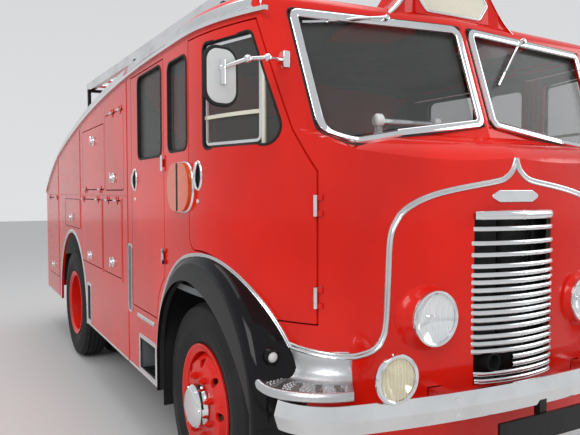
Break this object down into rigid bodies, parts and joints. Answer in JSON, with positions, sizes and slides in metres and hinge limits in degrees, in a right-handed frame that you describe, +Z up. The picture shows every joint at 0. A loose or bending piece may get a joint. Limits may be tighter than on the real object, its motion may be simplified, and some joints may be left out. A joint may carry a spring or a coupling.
{
  "type": "fire engine",
  "caption": "Full-front fire engine with opening doors, locker lids and pump lid, steered front wheels, rear wheels in pairs, a rear tow jaw and a ladder on the roof.",
  "frame": {"origin": "middle of the overall box, on the floor", "axes": "+Z up, nose towards -Y, off side (driver's side) towards -X"},
  "size_m": [2.7034, 6.1, 2.486],
  "materials": {
    "red_paint": "gloss",
    "black_paint": "gloss",
    "chassis_black": "satin",
    "spring_steel": "satin",
    "engine_grey": "satin",
    "grey_paint": "satin",
    "tank_steel": "satin",
    "chrome": "polished",
    "bright_aluminium": "polished",
    "clear_glass": "clear",
    "lens_glass": "clear",
    "cream_paint": "gloss",
    "mirror_back": "gloss",
    "lamp_plastic": "gloss",
    "plate_white": "gloss",
    "black_plastic": "matte",
    "seat_leather": "satin",
    "wheel_red": "gloss",
    "tyre_rubber": "matte"
  },
  "bodies": {
    "body": {"cab_shell": "red_paint", "rear_body": "red_paint", "cab_floor": "grey_paint", "body_floor": "grey_paint", "chassis_frame": "chassis_black", "axles_and_shaft": "chassis_black", "leaf_springs": "spring_steel", "engine": "engine_grey", "radiator": "chassis_black", "water_tank": "tank_steel", "front_wings": "black_paint", "front_bumper": "chrome", "corner_steps": "bright_aluminium", "grille": "chrome", "front_lamps": "chrome", "lamp_lenses": "lens_glass", "sign_box": "cream_paint", "gutters": "chrome", "roof_ladder": "bright_aluminium", "ladder_rack": "black_paint", "mirrors": "mirror_back", "rear_step": "bright_aluminium", "side_lamps": "lamp_plastic", "number_plates": "plate_white", "dashboard": "black_plastic", "steering_wheel": "black_plastic", "seats": "seat_leather", "windscreen_frames": "chrome", "cab_glass": "clear_glass"},
    "knuckle_r": {"knuckle_r": "chassis_black"},
    "front_wheel_r": {"front_wheel_r": "wheel_red", "front_tyre_r": "tyre_rubber"},
    "rear_wheels_r": {"rear_wheels_r": "wheel_red", "rear_tyres_r": "tyre_rubber"},
    "cab_door_r": {"cab_door_r": "red_paint", "cab_door_glass_r": "clear_glass"},
    "crew_door_r": {"crew_door_r": "red_paint", "crew_door_glass_r": "clear_glass"},
    "locker_upper_front_r": {"locker_upper_front_r": "red_paint"},
    "locker_upper_rear_r": {"locker_upper_rear_r": "red_paint"},
    "locker_lower_front_r": {"locker_lower_front_r": "red_paint"},
    "locker_lower_middle_r": {"locker_lower_middle_r": "red_paint"},
    "locker_lower_rear_r": {"locker_lower_rear_r": "red_paint"},
    "knuckle_l": {"knuckle_l": "chassis_black"},
    "front_wheel_l": {"front_wheel_l": "wheel_red", "front_tyre_l": "tyre_rubber"},
    "rear_wheels_l": {"rear_wheels_l": "wheel_red", "rear_tyres_l": "tyre_rubber"},
    "cab_door_l": {"cab_door_l": "red_paint", "cab_door_glass_l": "clear_glass"},
    "crew_door_l": {"crew_door_l": "red_paint", "crew_door_glass_l": "clear_glass"},
    "locker_upper_front_l": {"locker_upper_front_l": "red_paint"},
    "locker_upper_rear_l": {"locker_upper_rear_l": "red_paint"},
    "locker_lower_front_l": {"locker_lower_front_l": "red_paint"},
    "locker_lower_middle_l": {"locker_lower_middle_l": "red_paint"},
    "locker_lower_rear_l": {"locker_lower_rear_l": "red_paint"},
    "rear_lid": {"rear_lid": "red_paint"}
  },
  "joints": [
    {"name": "steer_r", "type": "hinge", "parent": "body", "child": "knuckle_r", "pos_m": [-0.872, -1.99, 0.48], "axis": [0, 0, 1], "range_deg": [-30, 30]},
    {"name": "front_wheel_r_spin", "type": "hinge", "parent": "knuckle_r", "child": "front_wheel_r", "pos_m": [-0.972, -1.99, 0.48], "axis": [1, 0, 0], "continuous": true},
    {"name": "rear_wheels_r_spin", "type": "hinge", "parent": "body", "child": "rear_wheels_r", "pos_m": [-0.816, 1.2, 0.48], "axis": [1, 0, 0], "continuous": true},
    {"name": "cab_door_r_hinge", "type": "hinge", "parent": "body", "child": "cab_door_r", "pos_m": [-0.91238, -2.73797, 1.255], "axis": [0, 0, 1], "range_deg": [0, 50]},
    {"name": "crew_door_r_hinge", "type": "hinge", "parent": "body", "child": "crew_door_r", "pos_m": [-1.1353, -1.59478, 1.39], "axis": [0, 0, 1], "range_deg": [0, 75]},
    {"name": "locker_upper_front_r_hinge", "type": "hinge", "parent": "body", "child": "locker_upper_front_r", "pos_m": [-1.11295, -0.47728, 2.01], "axis": [0.02, 0.9998, 0], "range_deg": [0, 85]},
    {"name": "locker_upper_rear_r_hinge", "type": "hinge", "parent": "body", "child": "locker_upper_rear_r", "pos_m": [-1.09878, 0.23122, 1.5], "axis": [-0.02, -0.9998, 0], "range_deg": [0, 85]},
    {"name": "locker_lower_front_r_hinge", "type": "hinge", "parent": "body", "child": "locker_lower_front_r", "pos_m": [-1.1112, -0.38978, 1.425], "axis": [0.02, 0.9998, 0], "range_deg": [0, 85]},
    {"name": "locker_lower_middle_r_hinge", "type": "hinge", "parent": "body", "child": "locker_lower_middle_r", "pos_m": [-1.0969, 0.32522, 1.425], "axis": [0.02, 0.9998, 0], "range_deg": [0, 85]},
    {"name": "locker_lower_rear_r_hinge", "type": "hinge", "parent": "body", "child": "locker_lower_rear_r", "pos_m": [-1.0569, 2.32522, 1.425], "axis": [0.02, 0.9998, 0], "range_deg": [0, 85]},
    {"name": "steer_l", "type": "hinge", "parent": "body", "child": "knuckle_l", "pos_m": [0.872, -1.99, 0.48], "axis": [0, 0, 1], "range_deg": [-30, 30]},
    {"name": "front_wheel_l_spin", "type": "hinge", "parent": "knuckle_l", "child": "front_wheel_l", "pos_m": [0.972, -1.99, 0.48], "axis": [1, 0, 0], "continuous": true},
    {"name": "rear_wheels_l_spin", "type": "hinge", "parent": "body", "child": "rear_wheels_l", "pos_m": [0.816, 1.2, 0.48], "axis": [1, 0, 0], "continuous": true},
    {"name": "cab_door_l_hinge", "type": "hinge", "parent": "body", "child": "cab_door_l", "pos_m": [0.91238, -2.73797, 1.255], "axis": [0, 0, -1], "range_deg": [0, 50]},
    {"name": "crew_door_l_hinge", "type": "hinge", "parent": "body", "child": "crew_door_l", "pos_m": [1.1353, -1.59478, 1.39], "axis": [0, 0, -1], "range_deg": [0, 75]},
    {"name": "locker_upper_front_l_hinge", "type": "hinge", "parent": "body", "child": "locker_upper_front_l", "pos_m": [1.11295, -0.47728, 2.01], "axis": [0.02, -0.9998, 0], "range_deg": [0, 85]},
    {"name": "locker_upper_rear_l_hinge", "type": "hinge", "parent": "body", "child": "locker_upper_rear_l", "pos_m": [1.09878, 0.23122, 1.5], "axis": [-0.02, 0.9998, 0], "range_deg": [0, 85]},
    {"name": "locker_lower_front_l_hinge", "type": "hinge", "parent": "body", "child": "locker_lower_front_l", "pos_m": [1.1112, -0.38978, 1.425], "axis": [0.02, -0.9998, 0], "range_deg": [0, 85]},
    {"name": "locker_lower_middle_l_hinge", "type": "hinge", "parent": "body", "child": "locker_lower_middle_l", "pos_m": [1.0969, 0.32522, 1.425], "axis": [0.02, -0.9998, 0], "range_deg": [0, 85]},
    {"name": "locker_lower_rear_l_hinge", "type": "hinge", "parent": "body", "child": "locker_lower_rear_l", "pos_m": [1.0569, 2.32522, 1.425], "axis": [0.02, -0.9998, 0], "range_deg": [0, 85]},
    {"name": "rear_lid_hinge", "type": "hinge", "parent": "body", "child": "rear_lid", "pos_m": [0, 2.831, 1.4035], "axis": [1, 0, 0], "range_deg": [0, 95]}
  ],
  "couplings": [
    {"joint": "steer_l", "follows": "steer_r", "ratio": 1}
  ]
}
